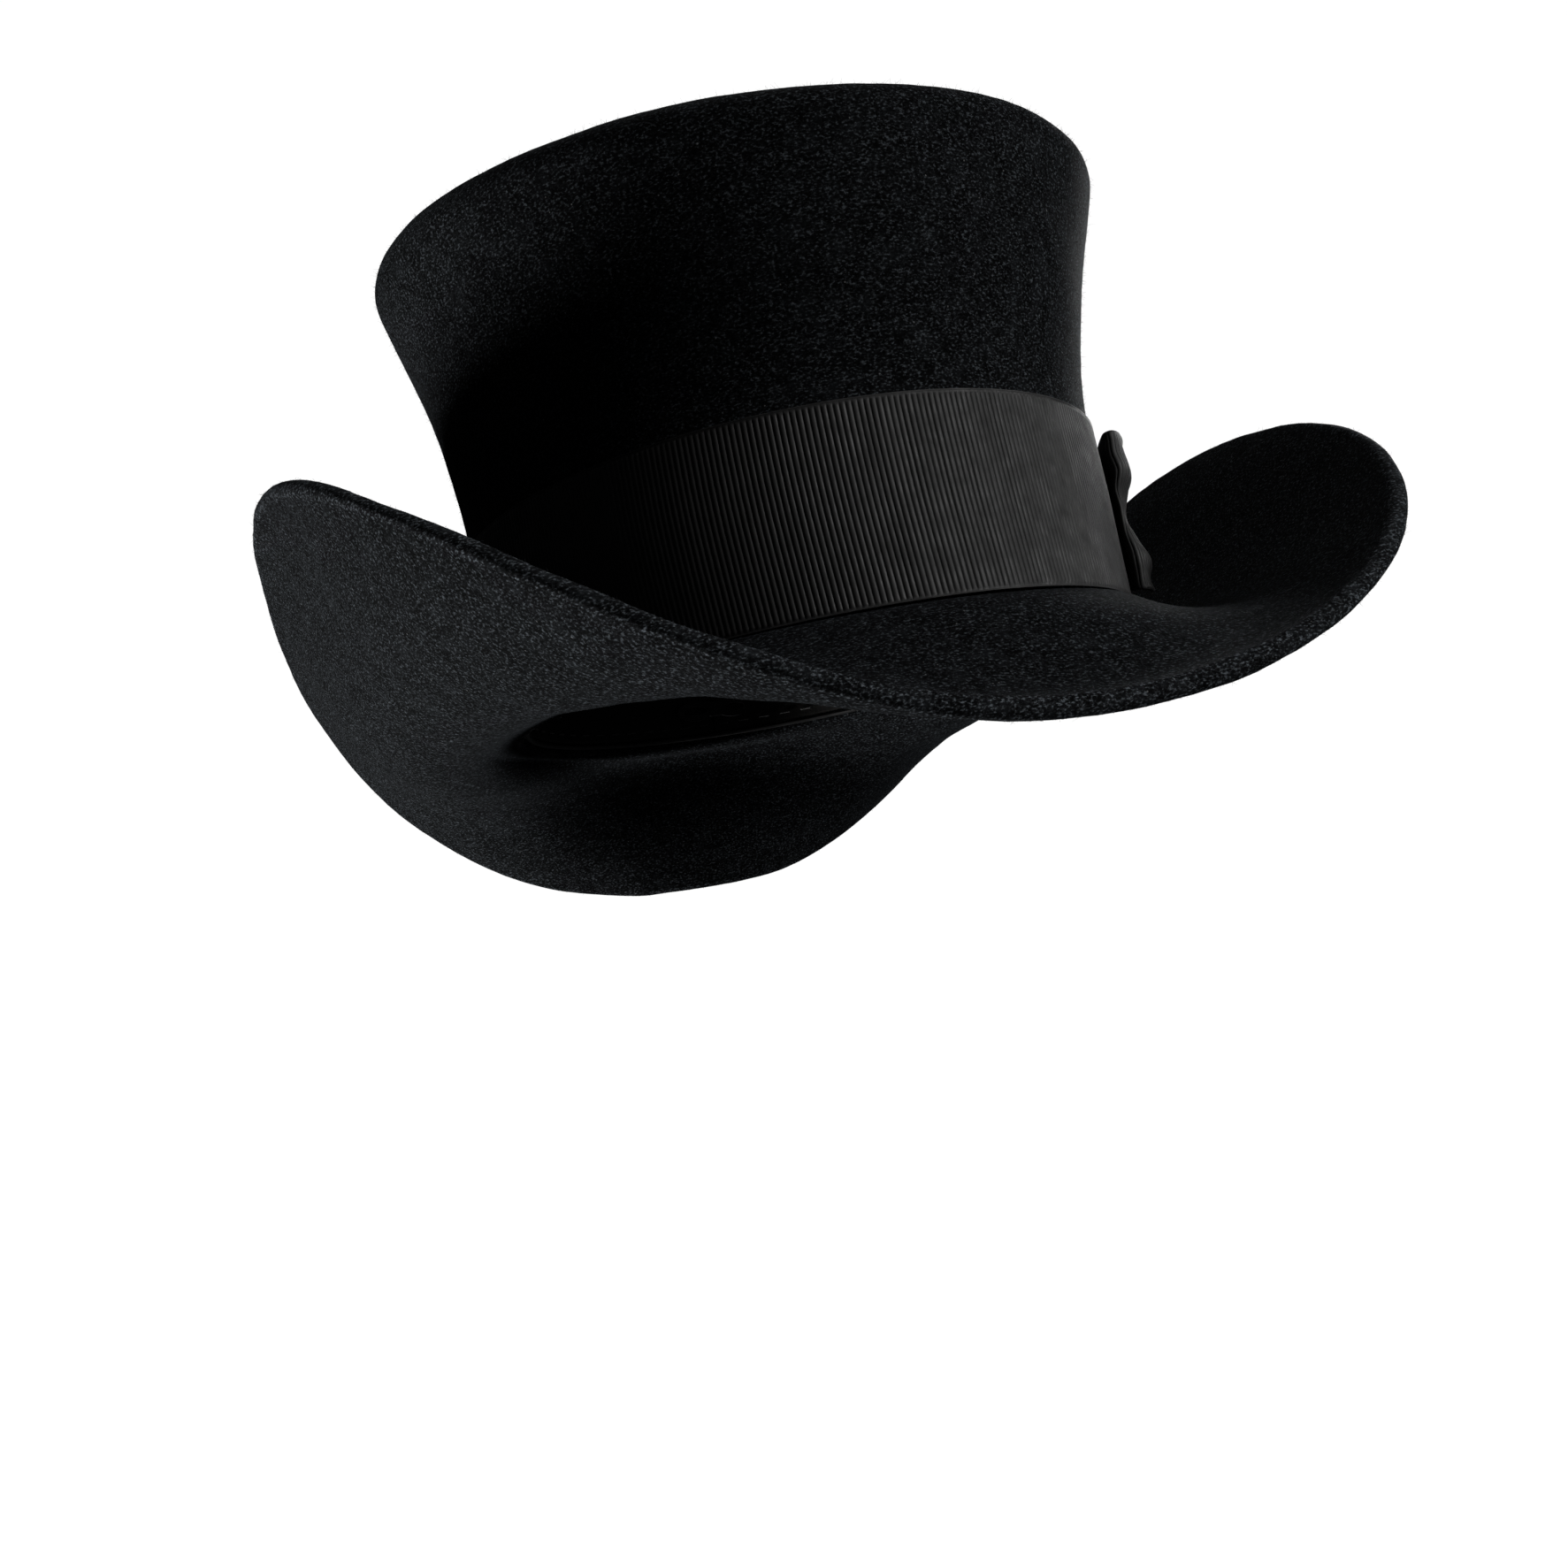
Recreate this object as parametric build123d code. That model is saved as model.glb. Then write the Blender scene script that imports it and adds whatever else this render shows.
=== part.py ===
from build123d import *
import os
from math import cos, degrees, hypot, pi, radians, sin

# A black wool-felt top hat, in millimetres.
# +Z is up along the crown, -Y is the front, +X is the wearer's left.
# The origin is the centre of the head opening, where brim and crown meet.

# ---- the crown: an oval that narrows above the ribbon and flares to the top ----
FOOT_HALF_WIDTH = 89.0        # outside of the crown at its foot, across
FOOT_HALF_LENGTH = 105.0      # outside of the crown at its foot, front to back
BACK_FULLNESS = 0.04          # the oval is this much wider behind than before
SIDE_HEIGHT = 123.5           # foot to the start of the rounded shoulder
SHOULDER_RADIUS = 10.5
SHOULDER_RISE = 9.5
SHOULDER_START = -14.0        # the shoulder's arc starts leaning out, as the wall does
# how far the wall stands out from the foot, at quarters of the side's height
FLARE_ACROSS = (0.0, 1.2, 1.2, 5.6, 14.9)
FLARE_ALONG = (0.0, -4.5, -6.0, 0.5, 5.0)
TIP_LEAN = 1.6                # the tip sits this far behind the foot
FOOT_TILT = -2.6              # the back of the foot is lower than its middle
TIP_TILT = 9.5                # and the back of the tip is higher
CROWN_FELT = 3.0

# ---- the brim: width and slope, round the oval ----
# Each series is (mean, back against front, sides against ends,
#                 third wave, fourth wave, left against right).
BRIM_FELT = 5.0
BRIM_ROOT = 6.0               # the brim leaves the foot level for this far at the sides
BRIM_WIDTH = (74.7, 8.4, 12.6, 0.0, -2.5, 0.0)
SLOPE_AT_CROWN = (-20.3, 3.4, -1.9, -5.5, 16.5, 0.8)
SLOPE_MIDWAY = (10.4, -5.5, 60.4, 3.2, -6.4, -5.0)
SLOPE_AT_RIM = (25.5, -15.2, 36.9, 10.3, -22.0, -5.0)
COLLAR_FELT = 2.2
COLLAR_HEIGHT = 12.0
COLLAR_DEPTH = 3.2            # collar's outer face, inside the crown's outer face
COLLAR_FOOT = -3.0

# ---- trimmings, as depths inside (+) or outside (-) the crown's outer face ----
RIBBON_HEIGHT = 50.0
RIBBON_FOOT = 0.5
RIBBON_INNER = -0.65
RIBBON_OUTER = -1.25
LEATHER_OUTER = 6.1
LEATHER_THICKNESS = 1.2
LEATHER_FOOT = 0.4
LEATHER_TOP = 36.0
LEATHER_LEAN = 1.6            # the free top edge stands this much further in
TAPE_OUTER = 5.55
TAPE_THICKNESS = 0.35
TAPE_TOP = 9.0
REED_RADIUS = 0.8
REED_DEPTH = 6.6
LINING_OUTER = 4.3
LINING_THICKNESS = 0.4
LINING_FOOT = 14.5
LINING_CORD_RADIUS = 0.7
THREAD_RADIUS = 0.25

# ---- the side bow ----
BOW_ANGLE = -6.0              # a little forward of the wearer's left side
BOW_REACH = 46.0              # knot to the end of a loop
BOW_CLEAR = 0.6               # between the loops and the flat underlay
BOW_MIDDLE = RIBBON_FOOT + RIBBON_HEIGHT / 2 + 2.5
UNDERLAY_LENGTH = 70.0
UNDERLAY_HEIGHT = 42.0
UNDERLAY_OUTER = -1.85
KNOT_WIDTH = 13.0
# share of the reach, height and depth of a loop's section, from knot to end
LOOP_SECTIONS = ((0.01, 16.0, 4.0), (0.16, 18.0, 5.0), (0.4, 32.0, 8.0),
                 (0.65, 43.0, 9.5), (0.88, 46.0, 7.0), (1.0, 45.0, 4.0))
LOOP_DENT = 0.35              # how far the outer face sinks at mid height

RING_POINTS = 36              # points that draw one ring of the oval
SHOULDER_MIDDLE = -SHOULDER_RADIUS * cos(radians(SHOULDER_START))
SHOULDER_LEVEL = SIDE_HEIGHT - SHOULDER_RISE * sin(radians(SHOULDER_START))
TIP_HEIGHT = SHOULDER_LEVEL + SHOULDER_RISE
WALL_LEVELS = [SIDE_HEIGHT * i / 12 for i in range(13)]
SHOULDER_TURNS = [SHOULDER_START, 5.0, 25.0, 45.0, 67.5, 90.0]


# ---------------------------------------------------------------- the crown's shape
def spread(table, z):
    """A smooth curve through five equally spaced values, at height z."""
    knots = len(table) - 1
    t = max(0.0, min(1.0, z / SIDE_HEIGHT)) * knots
    i = min(int(t), knots - 1)
    f = t - i
    before = table[i - 1] if i > 0 else 2 * table[0] - table[1]
    after = table[i + 2] if i + 2 <= knots else 2 * table[-1] - table[-2]
    a, b = table[i], table[i + 1]
    rise_a, rise_b = (b - before) / 2, (after - a) / 2
    return (a * (2 * f**3 - 3 * f**2 + 1) + b * (3 * f**2 - 2 * f**3)
            + rise_a * (f**3 - 2 * f**2 + f) + rise_b * (f**3 - f**2))


def tilt(z):
    """How much higher the back of a level ring is than its middle."""
    return FOOT_TILT + (TIP_TILT - FOOT_TILT) * (max(z, 0.0) / TIP_HEIGHT) ** 2


def oval_point(angle, out_across, out_along, z):
    """A point of the ring at height z; angle 0 is the wearer's left, 90 the back."""
    c, s = cos(radians(angle)), sin(radians(angle))
    x = (FOOT_HALF_WIDTH + out_across) * c * (1 + BACK_FULLNESS * s)
    y = (FOOT_HALF_LENGTH + out_along) * s + TIP_LEAN * z / SIDE_HEIGHT
    return Vector(x, y, z + tilt(z) * s)


def wall_point(angle, z, depth):
    """A point of the crown's side at height z, a depth inside its outer face."""
    return oval_point(angle, spread(FLARE_ACROSS, z) - depth,
                      spread(FLARE_ALONG, z) - depth, z)


def trim_point(angle, height, depth):
    """As wall_point, at one height above the crown's foot all the way round."""
    rise = tilt(height) - tilt(0.0)
    return wall_point(angle, height - rise * sin(radians(angle)), depth)


def shoulder_point(angle, turn, depth):
    """A point of the rounded shoulder; turn 0 is its widest, 90 the tip."""
    reach = SHOULDER_MIDDLE + (SHOULDER_RADIUS - depth) * cos(radians(turn))
    z = SHOULDER_LEVEL + (SHOULDER_RISE - depth) * sin(radians(turn))
    return oval_point(angle, FLARE_ACROSS[-1] + reach, FLARE_ALONG[-1] + reach, z)


# ---------------------------------------------------------------- rings and hoops
def ring(place):
    """A closed smooth wire once round the oval; place gives the point at an angle."""
    angles = [360.0 * i / RING_POINTS for i in range(RING_POINTS)]
    return Wire([Edge.make_spline([place(a) for a in angles], periodic=True)])


def wall_ring(z, depth):
    return ring(lambda a: wall_point(a, z, depth))


def trim_ring(height, depth):
    return ring(lambda a: trim_point(a, height, depth))


def shoulder_ring(turn, depth):
    return ring(lambda a: shoulder_point(a, turn, depth))


def levels(low, high, count):
    return [low + (high - low) * i / (count - 1) for i in range(count)]


def hoop(*runs):
    """A closed solid from runs of rings. Each run is a smooth skin, and each
    run starts on the ring where the one before it ends."""
    faces = []
    for run in runs:
        faces += Shell.make_loft(run, ruled=len(run) == 2).faces()
    return Solid(Shell(faces))


def sleeve(low, high, outer, inner, lean=0.0, count=6):
    """A thin band round the crown, of one height, between two depths."""
    heights = levels(low, high, count)
    leans = levels(0.0, lean, count)
    out = [trim_ring(h, outer + x) for h, x in zip(heights, leans)]
    back = [trim_ring(h, inner + x) for h, x in zip(heights, leans)][::-1]
    return hoop(out, [out[-1], back[0]], back, [back[-1], out[0]])


def cord_hoop(place, radius, sides=8):
    """A thin cord once round the oval; place gives its middle, out and up."""
    rings = []
    for i in range(sides):
        out = radius * cos(2 * pi * i / sides)
        up = radius * sin(2 * pi * i / sides)
        rings.append(ring(lambda a: place(a, out, up)))
    rings.append(rings[0])
    return hoop(*[list(pair) for pair in zip(rings[:-1], rings[1:])])


# ---------------------------------------------------------------- small local pieces
def outward(angle, wider=0.0):
    """The level direction square to the crown's foot, or to a wider oval."""
    step = 0.5
    before = oval_point(angle - step, wider, 0, 0)
    after = oval_point(angle + step, wider, 0, 0)
    dx, dy = after.X - before.X, after.Y - before.Y
    size = hypot(dx, dy)
    return Vector(dy / size, -dx / size, 0)


def onward(angle):
    """The level direction along the crown's foot, towards larger angles."""
    out = outward(angle)
    return Vector(-out.Y, out.X, 0)


def thread(angle, height, depth, length):
    """A short stitch that lies along the wall."""
    place = Plane(origin=trim_point(angle, height, depth), z_dir=onward(angle))
    return place * Cylinder(THREAD_RADIUS, length)


def thread_row(count, height, depth, length, start=0.0):
    angles = [start + 360.0 * i / count for i in range(count)]
    return [thread(a, height, depth, length) for a in angles]


def patch(angle, low, high, outer, inner, width):
    """A small thin piece that lies along the wall, between two depths."""
    across = Plane(origin=trim_point(angle, 0.0, outer), x_dir=onward(angle),
                   z_dir=outward(angle))
    keep = across * Box(width, 200, 30)
    return sleeve(low, high, outer, inner) & keep


# ---------------------------------------------------------------- the brim's shape
def series(values, angle):
    """The value of a series at an angle round the oval."""
    mean, back, sides, third, fourth, left = values
    a = radians(angle)
    return (mean + back * sin(a) + sides * cos(2 * a) + third * sin(3 * a)
            + fourth * cos(4 * a) + left * cos(a))


def brim_slope(angle, s):
    """The brim's slope in degrees, a share s of the way from crown to rim."""
    near = series(SLOPE_AT_CROWN, angle)
    mid = series(SLOPE_MIDWAY, angle)
    rim = series(SLOPE_AT_RIM, angle)
    return near * (1 - s) * (1 - 2 * s) + mid * 4 * s * (1 - s) + rim * s * (2 * s - 1)


def brim_line(angle, s, steps=24):
    """Distance out and height of the brim's upper face, a share s along it."""
    width = series(BRIM_WIDTH, angle)
    out = up = 0.0
    for i in range(steps):
        slope = radians(brim_slope(angle, s * (i + 0.5) / steps))
        out += cos(slope) * width * s / steps
        up += sin(slope) * width * s / steps
    return out, up


def brim_point(angle, s, down, past=0.0):
    """A point of the brim: s along it, down into the felt, past its rim."""
    out, up = brim_line(angle, s)
    slope = radians(brim_slope(angle, s))
    out += down * sin(slope) + past * cos(slope)
    up += -down * cos(slope) + past * sin(slope)
    return oval_point(angle, BRIM_ROOT, 0, 0) + outward(angle, BRIM_ROOT) * out + Vector(0, 0, up)


def brim_ring(s, down, past=0.0):
    return ring(lambda a: brim_point(a, s, down, past))


# ---------------------------------------------------------------- the felts
def bell(low, depth):
    """The solid inside the crown's face at one depth, from a level to the tip."""
    rings = [wall_ring(low, depth)]
    rings += [wall_ring(z, depth) for z in WALL_LEVELS[1:-1]]
    rings += [shoulder_ring(t, depth) for t in SHOULDER_TURNS]
    return Solid.make_loft(rings)


def make_crown():
    """The bell-shaped crown with its tip, open at the foot."""
    return bell(0.2, 0.0) - bell(-0.8, CROWN_FELT)


def make_brim():
    """Upper face, rounded rim, lower face and the turned-up collar."""
    stations = (0.0, 0.12, 0.25, 0.4, 0.55, 0.7, 0.85, 1.0)
    half = BRIM_FELT / 2
    upper = [brim_ring(s, 0.0) for s in stations]
    lower = [brim_ring(s, BRIM_FELT) for s in reversed(stations)]
    rim = [upper[-1]]
    for turn in (30.0, 60.0, 90.0, 120.0, 150.0):
        t = radians(turn)
        rim.append(brim_ring(1.0, half - half * cos(t), half * sin(t)))
    rim.append(lower[0])
    inner = COLLAR_DEPTH + COLLAR_FELT
    inside = [trim_ring(h, inner) for h in levels(COLLAR_FOOT, COLLAR_HEIGHT, 4)]
    outside = [trim_ring(h, COLLAR_DEPTH) for h in levels(COLLAR_HEIGHT, 0.0, 4)]
    return hoop(upper, rim, lower, [lower[-1], inside[0]], inside,
                [inside[-1], outside[0]], outside, [outside[-1], upper[0]])


# ---------------------------------------------------------------- ribbon and bow
def make_hatband():
    """The ribbon: one strip whose ends meet under the bow."""
    top = RIBBON_FOOT + RIBBON_HEIGHT
    strip = sleeve(RIBBON_FOOT, top, RIBBON_OUTER, RIBBON_INNER)
    meeting = Pos(FOOT_HALF_WIDTH, 0, RIBBON_HEIGHT / 2) * Box(30, 0.6, 90)
    return strip - meeting


def make_underlay():
    """A flat piece of ribbon that lies on the band behind the bow."""
    half = UNDERLAY_HEIGHT / 2
    return patch(BOW_ANGLE, BOW_MIDDLE - half, BOW_MIDDLE + half, UNDERLAY_OUTER,
                 RIBBON_OUTER - 0.15, UNDERLAY_LENGTH)


def bow_section(along, height, depth, dent, lift=0.0):
    """A closed upright section of the bow, at a signed distance from its knot."""
    angle = BOW_ANGLE + degrees(along / FOOT_HALF_LENGTH)
    clear = UNDERLAY_OUTER - BOW_CLEAR
    low = trim_point(angle, BOW_MIDDLE - 20, clear)
    high = trim_point(angle, BOW_MIDDLE + 20, clear)
    out_way = outward(angle)
    lean = (high - low).dot(out_way) / (high.Z - low.Z)
    up_way = (Vector(0, 0, 1) + out_way * lean).normalized()
    origin = trim_point(angle, BOW_MIDDLE, clear)
    points = []
    for i in range(16):
        turn = 2 * pi * i / 16
        up = height / 2 * sin(turn) * (0.35 + 0.65 * abs(sin(turn)) ** 0.5)
        bulge = 1 - dent * max(0.0, cos(turn)) ** 6
        out = depth / 2 * (1 + cos(turn) * bulge) + lift
        points.append(origin + up_way * up + out_way * out)
    return Wire([Edge.make_spline(points, periodic=True)])


def make_loop(side):
    """One loop of the bow; side -1 is the front loop and 1 the back loop."""
    sections = []
    for share, height, depth in LOOP_SECTIONS:
        dent = LOOP_DENT * share
        sections.append(bow_section(side * share * BOW_REACH, height, depth, dent, 0.9))
    return Solid.make_loft(sections)


def make_knot():
    """The short strip that wraps the middle of the bow."""
    stations = levels(-KNOT_WIDTH / 2, KNOT_WIDTH / 2, 3)
    outside = Solid.make_loft([bow_section(x, 20.0, 8.0, 0.0) for x in stations])
    longer = levels(-KNOT_WIDTH / 2 - 1, KNOT_WIDTH / 2 + 1, 3)
    inside = Solid.make_loft([bow_section(x, 18.4, 6.4, 0.0, 0.8) for x in longer])
    return outside - inside


# ---------------------------------------------------------------- inside the hat
def make_sweatband():
    """The leather strip against the head; its ends meet at the back."""
    strip = sleeve(LEATHER_FOOT, LEATHER_TOP, LEATHER_OUTER,
                   LEATHER_OUTER + LEATHER_THICKNESS, LEATHER_LEAN)
    meeting = Pos(0, FOOT_HALF_LENGTH, 20) * Box(0.5, 60, 60)
    return strip - meeting


def make_reed():
    """The thin plastic cord in the lower edge of the sweatband."""
    def place(angle, out, up):
        return trim_point(angle, -REED_RADIUS + up, REED_DEPTH - out)
    return cord_hoop(place, REED_RADIUS)


def make_inside_bow():
    """The small flat bow that covers the meeting of the leather."""
    loop = extrude(Ellipse(6.5, 3.4) - Ellipse(4.2, 1.3), 0.5, both=True)
    pair = Pos(-7, 0, 0) * loop + Pos(7, 0, 0) * loop
    bow = pair + Box(4.0, 5.0, 1.6)
    depth = LEATHER_OUTER + LEATHER_THICKNESS + 3.0
    place = Plane(origin=trim_point(90, 8.0, depth), x_dir=onward(90), z_dir=outward(90))
    return place * bow


def make_lining_side():
    """The satin wall, from behind the sweatband to the shoulder."""
    outer = [trim_ring(LINING_FOOT, LINING_OUTER)]
    inner = [trim_ring(LINING_FOOT, LINING_OUTER + LINING_THICKNESS)]
    for z in WALL_LEVELS[2:-1]:
        outer.append(wall_ring(z, LINING_OUTER))
        inner.append(wall_ring(z, LINING_OUTER + LINING_THICKNESS))
    for turn in SHOULDER_TURNS[:3]:
        outer.append(shoulder_ring(turn, LINING_OUTER))
        inner.append(shoulder_ring(turn, LINING_OUTER + LINING_THICKNESS))
    inner.reverse()
    return hoop(outer, [outer[-1], inner[0]], inner, [inner[-1], outer[0]])


def make_lining_tip():
    """The flat oval of satin under the tip."""
    depth = LINING_OUTER + LINING_THICKNESS
    reach = SHOULDER_MIDDLE + 1.0
    across, along = FLARE_ACROSS[-1] + reach, FLARE_ALONG[-1] + reach
    top = TIP_HEIGHT - depth
    rings = [ring(lambda a, z=z: oval_point(a, across, along, z))
             for z in (top - LINING_THICKNESS, top)]
    return Solid.make_loft(rings, ruled=True)


def make_lining_cord():
    """The cord over the seam between the lining's side and tip."""
    def place(angle, out, up):
        middle = shoulder_point(angle, 62.0, LINING_OUTER + 1.0)
        return middle + outward(angle) * out + Vector(0, 0, up)
    return cord_hoop(place, LINING_CORD_RADIUS)


# ---------------------------------------------------------------- all the pieces
THREAD_GAP = THREAD_RADIUS + 0.1
RIBBON_TOP = RIBBON_FOOT + RIBBON_HEIGHT
LEATHER_INNER = LEATHER_OUTER + LEATHER_THICKNESS

pieces = {
    "crown_felt": [make_crown()],
    "brim_felt": [make_brim()],
    "join_stitches": thread_row(48, 7.0, -THREAD_GAP, 5.0),
    "hatband": [make_hatband()],
    "hatband_tacks": (thread_row(12, RIBBON_TOP - 1.5, -THREAD_GAP, 1.6, 30)
                      + thread_row(12, RIBBON_FOOT + 1.5, -THREAD_GAP, 1.6, 15)),
    "bow_underlay": [make_underlay()],
    "bow_front_loop": [make_loop(-1)],
    "bow_back_loop": [make_loop(1)],
    "bow_knot": [make_knot()],
    "sweatband": [make_sweatband()],
    "sweatband_splice": [patch(90, 18.0, 33.0, 5.25, 5.65, 14.0)],
    "sweatband_reed": [make_reed()],
    "reed_tape": [sleeve(0.3, TAPE_TOP, TAPE_OUTER, TAPE_OUTER + TAPE_THICKNESS)],
    "sweatband_stitches": thread_row(72, 3.0, LEATHER_INNER + THREAD_GAP + 0.15, 3.5, 2.5),
    "sweatband_bow": [make_inside_bow()],
    "lining_side": [make_lining_side()],
    "lining_tip": [make_lining_tip()],
    "lining_cord": [make_lining_cord()],
    "lining_tacks": thread_row(24, 16.0, LINING_OUTER + LINING_THICKNESS + THREAD_GAP + 0.1, 3.0),
    "size_ticket": [patch(70, 18.0, 34.0, 5.2, 5.5, 14.0)],
}

os.makedirs("parts", exist_ok=True)
for name, solids in pieces.items():
    node = Compound(children=[Part() + solid for solid in solids])
    export_step(node, f"parts/{name}.step")
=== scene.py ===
"""A black wool-felt top hat with a ribbed ribbon and a side bow, on a pale floor.

The hat's shape follows the same formulas as the CAD model. Lengths are in
millimetres up to the moment a mesh is made, and in metres after that.
"""
import math

import bpy
import numpy as np
from mathutils import Matrix, Vector


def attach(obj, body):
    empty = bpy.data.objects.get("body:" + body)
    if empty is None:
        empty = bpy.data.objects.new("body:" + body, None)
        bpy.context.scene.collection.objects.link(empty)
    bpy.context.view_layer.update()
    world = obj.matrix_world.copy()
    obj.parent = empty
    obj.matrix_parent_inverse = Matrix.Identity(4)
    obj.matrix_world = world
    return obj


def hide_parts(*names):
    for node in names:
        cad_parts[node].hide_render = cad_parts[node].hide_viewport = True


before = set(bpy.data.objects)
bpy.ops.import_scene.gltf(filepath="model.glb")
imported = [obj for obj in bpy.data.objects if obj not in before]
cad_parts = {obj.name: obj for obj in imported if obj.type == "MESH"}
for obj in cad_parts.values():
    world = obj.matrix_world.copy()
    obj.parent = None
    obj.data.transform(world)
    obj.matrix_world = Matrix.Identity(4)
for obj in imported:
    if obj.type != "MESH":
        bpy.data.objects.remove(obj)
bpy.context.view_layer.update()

MM = 0.001

# ---------------------------------------------------------------- driving values
FOOT_HALF_WIDTH = 89.0
FOOT_HALF_LENGTH = 105.0
BACK_FULLNESS = 0.04
SIDE_HEIGHT = 123.5
SHOULDER_RADIUS = 10.5
SHOULDER_RISE = 9.5
SHOULDER_START = -14.0
FLARE_ACROSS = (0.0, 1.2, 1.2, 5.6, 14.9)
FLARE_ALONG = (0.0, -4.5, -6.0, 0.5, 5.0)
TIP_LEAN = 1.6
FOOT_TILT = -2.6
TIP_TILT = 9.5
CROWN_FELT = 3.0

# Each series: its mean, back against front, sides against ends, third and
# fourth harmonics, left against right.
BRIM_FELT = 5.0
BRIM_ROOT = 6.0               # the brim leaves the foot level for this far at the sides
BRIM_WIDTH = (74.7, 8.4, 12.6, 0.0, -2.5, 0.0)
SLOPE_AT_CROWN = (-20.3, 3.4, -1.9, -5.5, 16.5, 0.8)
SLOPE_MIDWAY = (10.4, -5.5, 60.4, 3.2, -6.4, -5.0)
SLOPE_AT_RIM = (25.5, -15.2, 36.9, 10.3, -22.0, -5.0)
COLLAR_FELT = 2.2
COLLAR_HEIGHT = 12.0
COLLAR_DEPTH = 3.2
COLLAR_FOOT = -3.0

RIBBON_HEIGHT = 50.0
RIBBON_FOOT = 0.5
RIBBON_OUTER = -1.25          # depths below nought lie outside the crown
RIBBON_BACK = -0.18
RIB_PITCH = 1.45
RIB_RELIEF = 0.42
RIB_SHARPNESS = 0.5           # below one, the ribs are round and the grooves narrow
SELVAGE = 1.3

LEATHER_OUTER = 6.1
LEATHER_SKIN = 0.8
LEATHER_FOOT = 0.4
LEATHER_TOP = 36.0
LEATHER_LEAN = 1.6
LINING_OUTER = 4.3
LINING_SKIN = 0.25
LINING_FOOT = 14.5

BOW_ANGLE = math.radians(-6.0)
BOW_MIDDLE = RIBBON_FOOT + RIBBON_HEIGHT / 2 + 2.5
BOW_BASE = -2.45              # depth of the back of the bow's loops
UNDERLAY_LENGTH = 70.0
UNDERLAY_HEIGHT = 42.0
UNDERLAY_OUTER = -1.85
LOOP_RELIEF = 0.36
LOOP_HALF_SKIN = 0.18

# The loose hairs of the felt.
HAIR_SHORTEST = 0.35
HAIR_LONGEST = 1.25
HAIR_ROOT = 0.1               # how deep a hair starts under the skin
HAIR_LEAN = 0.75
HAIR_BEND = 0.35
HAIR_TAPER = ((0.0, 0.028), (0.5, 0.022), (1.0, 0.008))   # share of its length, radius

SHOULDER_MIDDLE = -SHOULDER_RADIUS * math.cos(math.radians(SHOULDER_START))
SHOULDER_LEVEL = SIDE_HEIGHT - SHOULDER_RISE * math.sin(math.radians(SHOULDER_START))
TIP_HEIGHT = SHOULDER_LEVEL + SHOULDER_RISE

# The camera: what it looks at, from where, and how its frame is turned.
CAMERA_TARGET = (0.0, 0.0, 63.0)
CAMERA_DISTANCE = 455.1
CAMERA_AZIMUTH = -22.23
CAMERA_ELEVATION = -13.84
CAMERA_ROLL = 10.27
CAMERA_AIM_SIDE = -0.372      # the hat's middle lies this many degrees off the axis
CAMERA_AIM_UP = -11.694
CAMERA_LENS = 34.66
FLOOR_LEVEL = -1.6
AMBIENT = 0.02                # the white room, as a light on the hat


# ---------------------------------------------------------------- the hat's shape
def spread(table, z):
    """A smooth curve through five equally spaced values, at heights z."""
    table = np.asarray(table)
    knots = len(table) - 1
    t = np.clip(z / SIDE_HEIGHT, 0.0, 1.0) * knots
    i = np.minimum(t.astype(int), knots - 1)
    f = t - i
    ends = np.concatenate(([2 * table[0] - table[1]], table,
                           [2 * table[-1] - table[-2]]))
    a, b = ends[i + 1], ends[i + 2]
    rise_a, rise_b = (b - ends[i]) / 2, (ends[i + 3] - a) / 2
    return (a * (2 * f**3 - 3 * f**2 + 1) + b * (3 * f**2 - 2 * f**3)
            + rise_a * (f**3 - 2 * f**2 + f) + rise_b * (f**3 - f**2))


def tilt(z):
    return FOOT_TILT + (TIP_TILT - FOOT_TILT) * (np.maximum(z, 0.0) / TIP_HEIGHT) ** 2


def oval(angle, out_across, out_along, z):
    """Points of the rings at heights z; angle 0 is the wearer's left, 90 the back."""
    c, s = np.cos(angle), np.sin(angle)
    x = (FOOT_HALF_WIDTH + out_across) * c * (1 + BACK_FULLNESS * s)
    y = (FOOT_HALF_LENGTH + out_along) * s + TIP_LEAN * z / SIDE_HEIGHT
    return np.stack(np.broadcast_arrays(x, y, z + tilt(z) * s), axis=-1)


def wall(angle, z, depth):
    """Points of the crown's side, a depth inside its outer face."""
    z = np.asarray(z, float)
    return oval(angle, spread(FLARE_ACROSS, z) - depth, spread(FLARE_ALONG, z) - depth, z)


def trim(angle, height, depth):
    """As wall, at one height above the crown's foot all the way round."""
    height = np.asarray(height, float)
    return wall(angle, height - (tilt(height) - FOOT_TILT) * np.sin(angle), depth)


def shoulder(angle, turn, depth):
    """Points of the rounded shoulder; turn 0 is its widest, 90 the tip."""
    reach = SHOULDER_MIDDLE + (SHOULDER_RADIUS - depth) * np.cos(turn)
    z = SHOULDER_LEVEL + (SHOULDER_RISE - depth) * np.sin(turn)
    return oval(angle, FLARE_ACROSS[-1] + reach, FLARE_ALONG[-1] + reach, z)


def outward(angle):
    """The level direction straight out of the oval at the brim's root."""
    c, s = np.cos(angle), np.sin(angle)
    half_width = FOOT_HALF_WIDTH + BRIM_ROOT
    along_x = half_width * (c * BACK_FULLNESS * c - s * (1 + BACK_FULLNESS * s))
    along_y = FOOT_HALF_LENGTH * c
    length = np.hypot(along_x, along_y)
    return np.stack([along_y / length, -along_x / length, 0 * length], axis=-1)


def series(values, a):
    mean, back, sides, third, fourth, left = values
    return (mean + back * np.sin(a) + sides * np.cos(2 * a) + third * np.sin(3 * a)
            + fourth * np.cos(4 * a) + left * np.cos(a))


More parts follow.
